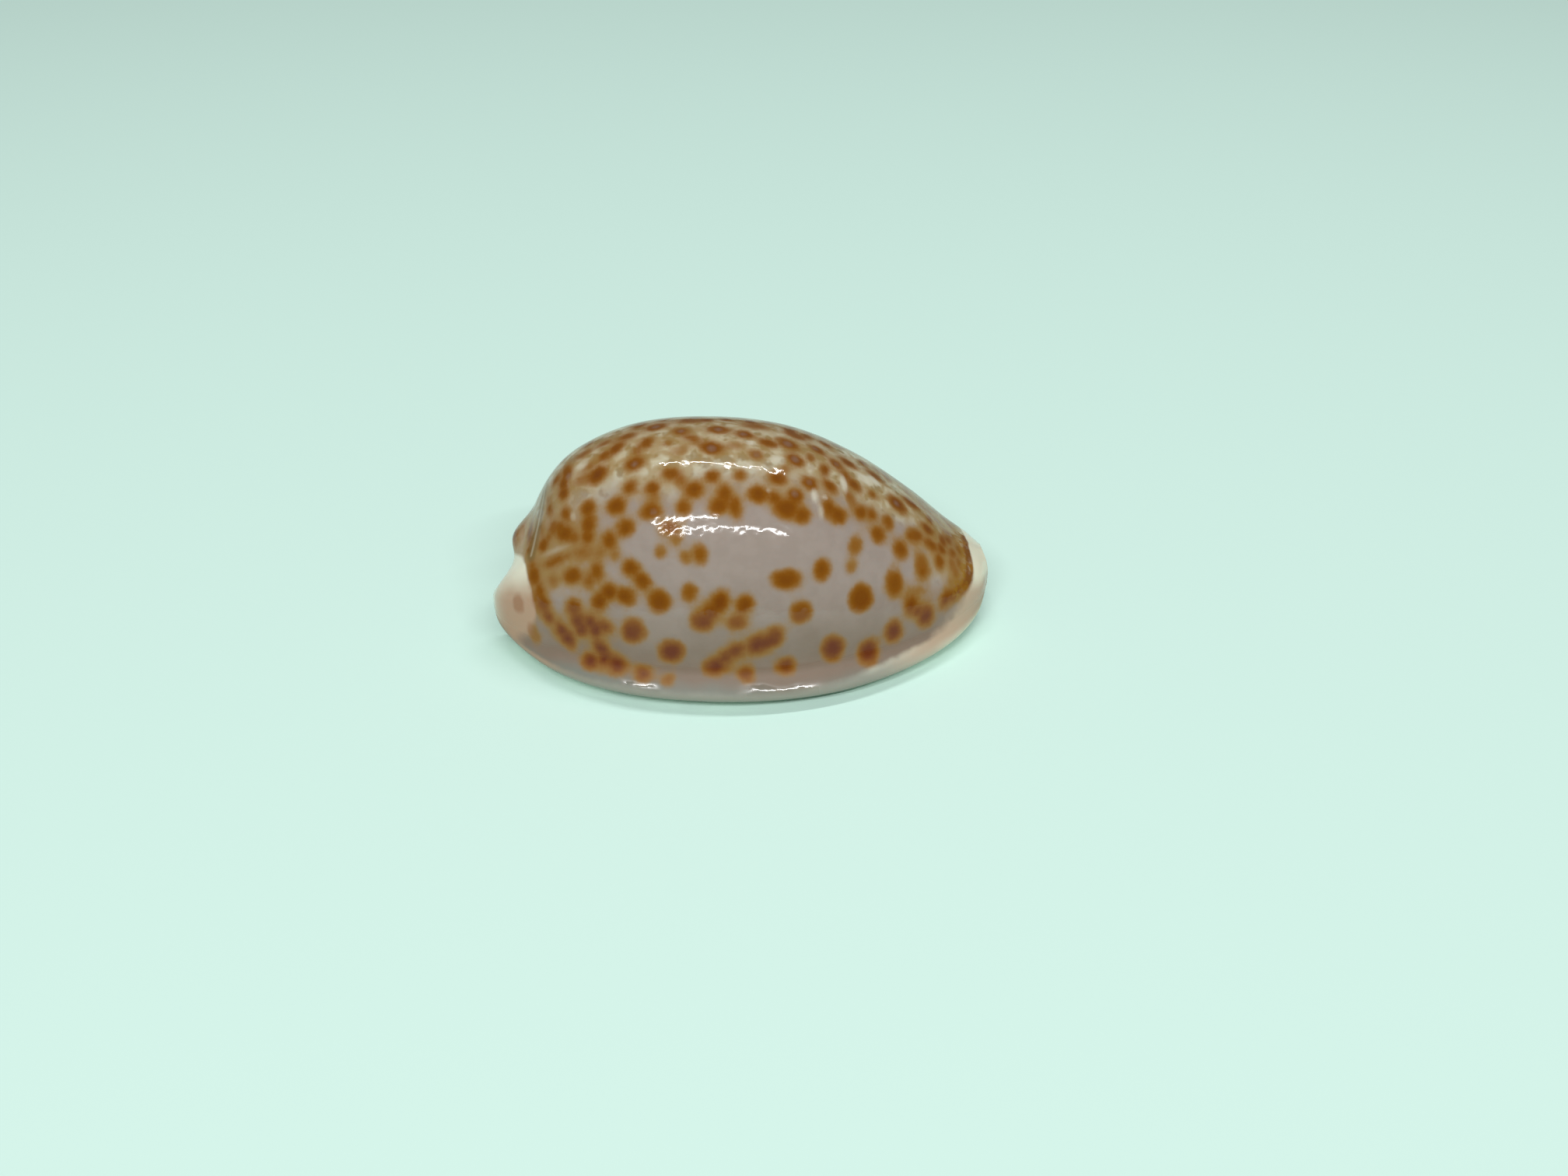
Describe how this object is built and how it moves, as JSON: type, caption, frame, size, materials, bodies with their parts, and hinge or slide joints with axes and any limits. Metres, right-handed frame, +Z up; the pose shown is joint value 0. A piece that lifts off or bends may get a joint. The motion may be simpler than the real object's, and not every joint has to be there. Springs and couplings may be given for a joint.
{
  "type": "cowrie shell",
  "caption": "Glossy spotted cowrie shell: a hollow egg-shaped sea shell with a toothed slit along its flat base and a notch at each end.",
  "frame": {"origin": "on the surface that the shell rests on, under the middle of its box", "axes": "+X towards the anterior (narrow) end, -Y towards the outer lip, +Z up from the base to the back"},
  "size_m": [0.0248, 0.0142, 0.0109],
  "materials": {
    "shell_enamel": "gloss"
  },
  "bodies": {
    "root": {"cowrie_shell": "shell_enamel"}
  },
  "joints": []
}
